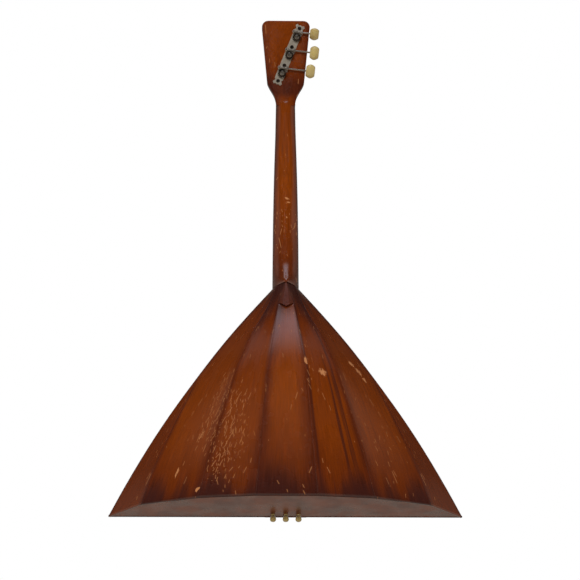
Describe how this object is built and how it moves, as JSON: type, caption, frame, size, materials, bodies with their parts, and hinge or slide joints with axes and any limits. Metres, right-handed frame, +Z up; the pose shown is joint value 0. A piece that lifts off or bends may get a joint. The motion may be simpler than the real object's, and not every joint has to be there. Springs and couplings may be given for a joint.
{
  "type": "balalaika",
  "caption": "Triangular three-string balalaika with a staved back, round-backed neck and a strip of worm-geared tuners on one side of the head.",
  "frame": {"origin": "centre line of the instrument at the nut, in the plane of the soundboard's outer face, where the head flares from the neck", "axes": "+Z up the neck towards the head, -Y out of the soundboard, +X to the right seen from the front"},
  "size_m": [0.44, 0.0912, 0.6645],
  "materials": {
    "varnished_maple": "glossy dark amber sunburst varnish, scratched and chipped",
    "neck_wood": "glossy amber to red-brown varnish",
    "spruce": "clear varnished straight grain",
    "raw_spruce": "unvarnished",
    "binding_wood": "black-stained edge strip",
    "dark_wood": "dark stained hardwood, satin",
    "inlay": "black celluloid",
    "bone": "polished bone",
    "ivory_plastic": "yellowed ivory plastic, worn",
    "fret_wire": "worn brass wire",
    "plated_steel": "dull nickel plate with brown tarnish",
    "string_steel": "plain steel wire",
    "dark_steel": "blackened and greasy"
  },
  "bodies": {
    "root": {"binding_left": "binding_wood", "binding_right": "binding_wood", "binding_tail": "binding_wood", "bridge": "dark_wood", "bridge_saddle": "bone", "corner_block_left": "raw_spruce", "corner_block_right": "raw_spruce", "fingerboard": "dark_wood", "frets": "fret_wire", "head_face": "dark_wood", "heel_block": "varnished_maple", "lining_left": "raw_spruce", "lining_right": "raw_spruce", "lower_brace": "raw_spruce", "neck": "neck_wood", "nut": "bone", "pickguard": "inlay", "plate_screws": "dark_steel", "position_dots": "bone", "post_ferrules": "plated_steel", "rosette": "inlay", "soundboard": "spruce", "stave_centre": "varnished_maple", "stave_inner_left": "varnished_maple", "stave_inner_right": "varnished_maple", "stave_outer_left": "varnished_maple", "stave_outer_right": "varnished_maple", "stave_side_left": "varnished_maple", "stave_side_right": "varnished_maple", "string_1": "string_steel", "string_2": "string_steel", "string_3": "string_steel", "tail_block": "raw_spruce", "tail_pin_1": "ivory_plastic", "tail_pin_2": "ivory_plastic", "tail_pin_3": "ivory_plastic", "tail_plate": "varnished_maple", "tail_saddle": "dark_wood", "tuner_plate": "plated_steel", "upper_brace": "raw_spruce", "worm_brackets": "plated_steel"},
    "knob_body_1": {"knob_1": "ivory_plastic", "worm_shaft_1": "plated_steel"},
    "post_body_1": {"gear_1": "dark_steel", "gear_screw_1": "dark_steel", "string_post_1": "plated_steel", "string_winding_1": "string_steel"},
    "knob_body_2": {"knob_2": "ivory_plastic", "worm_shaft_2": "plated_steel"},
    "post_body_2": {"gear_2": "dark_steel", "gear_screw_2": "dark_steel", "string_post_2": "plated_steel", "string_winding_2": "string_steel"},
    "knob_body_3": {"knob_3": "ivory_plastic", "worm_shaft_3": "plated_steel"},
    "post_body_3": {"gear_3": "dark_steel", "gear_screw_3": "dark_steel", "string_post_3": "plated_steel", "string_winding_3": "string_steel"}
  },
  "joints": [
    {"name": "knob_turn_1", "type": "hinge", "parent": "root", "child": "knob_body_1", "pos_m": [-0.01512, 0.03288, 0.09088], "axis": [-0.9936, -0.0197, -0.1115], "continuous": true},
    {"name": "post_turn_1", "type": "hinge", "parent": "root", "child": "post_body_1", "pos_m": [-0.01431, 0.02811, 0.08456], "axis": [0, 0.9848, -0.1736], "continuous": true},
    {"name": "knob_turn_2", "type": "hinge", "parent": "root", "child": "knob_body_2", "pos_m": [-0.0055, 0.02869, 0.06709], "axis": [-0.9936, -0.0197, -0.1115], "continuous": true},
    {"name": "post_turn_2", "type": "hinge", "parent": "root", "child": "post_body_2", "pos_m": [-0.0047, 0.02392, 0.06077], "axis": [0, 0.9848, -0.1736], "continuous": true},
    {"name": "knob_turn_3", "type": "hinge", "parent": "root", "child": "knob_body_3", "pos_m": [0.00411, 0.02449, 0.0433], "axis": [-0.9936, -0.0197, -0.1115], "continuous": true},
    {"name": "post_turn_3", "type": "hinge", "parent": "root", "child": "post_body_3", "pos_m": [0.00491, 0.01972, 0.03698], "axis": [0, 0.9848, -0.1736], "continuous": true}
  ],
  "couplings": [
    {"joint": "post_turn_1", "follows": "knob_turn_1", "ratio": 0.071429},
    {"joint": "post_turn_2", "follows": "knob_turn_2", "ratio": 0.071429},
    {"joint": "post_turn_3", "follows": "knob_turn_3", "ratio": 0.071429}
  ]
}
